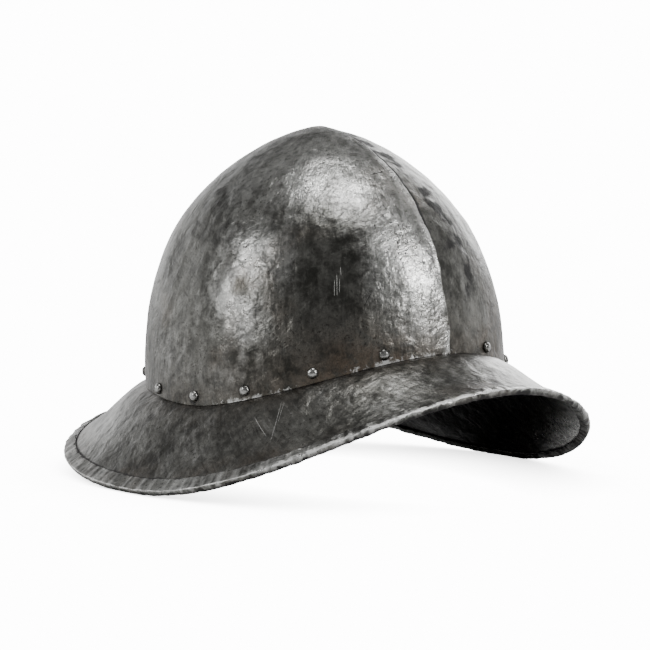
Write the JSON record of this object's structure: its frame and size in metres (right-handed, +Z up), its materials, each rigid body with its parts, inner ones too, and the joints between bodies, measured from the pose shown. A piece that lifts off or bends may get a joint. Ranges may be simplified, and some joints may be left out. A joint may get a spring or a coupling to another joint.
{
  "type": "morion helmet",
  "caption": "Forged steel morion of kettle-hat form: a tall ridged skull without a comb, a drooping brim arched up in front, a folded edge strip and rivets round the foot.",
  "frame": {"origin": "centre of the outline seen from above, at the level of the two worn spots of the brim's edge that the helmet rests on", "axes": "+Z up through the crown, the wearer's face toward -Y, the wearer's left toward +X"},
  "size_m": [0.2902, 0.3438, 0.2102],
  "materials": {
    "skull_steel": "hammered dark steel with polished high spots and brown patina near the foot",
    "brim_steel": "dark steel, brushed outward",
    "binding_steel": "hammered and rubbed bright along the fold, dark in the groove",
    "rivet_steel": "rubbed dome with dark grime at its rim"
  },
  "bodies": {
    "root": {"skull": "skull_steel", "brim": "brim_steel", "edge_binding": "binding_steel", "rivet_right_1": "rivet_steel", "rivet_right_2": "rivet_steel", "rivet_right_3": "rivet_steel", "rivet_right_4": "rivet_steel", "rivet_right_5": "rivet_steel", "rivet_right_6": "rivet_steel", "rivet_right_7": "rivet_steel", "rivet_left_1": "rivet_steel", "rivet_left_2": "rivet_steel", "rivet_left_3": "rivet_steel", "rivet_left_4": "rivet_steel", "rivet_left_5": "rivet_steel", "rivet_left_6": "rivet_steel", "rivet_left_7": "rivet_steel"}
  },
  "joints": []
}
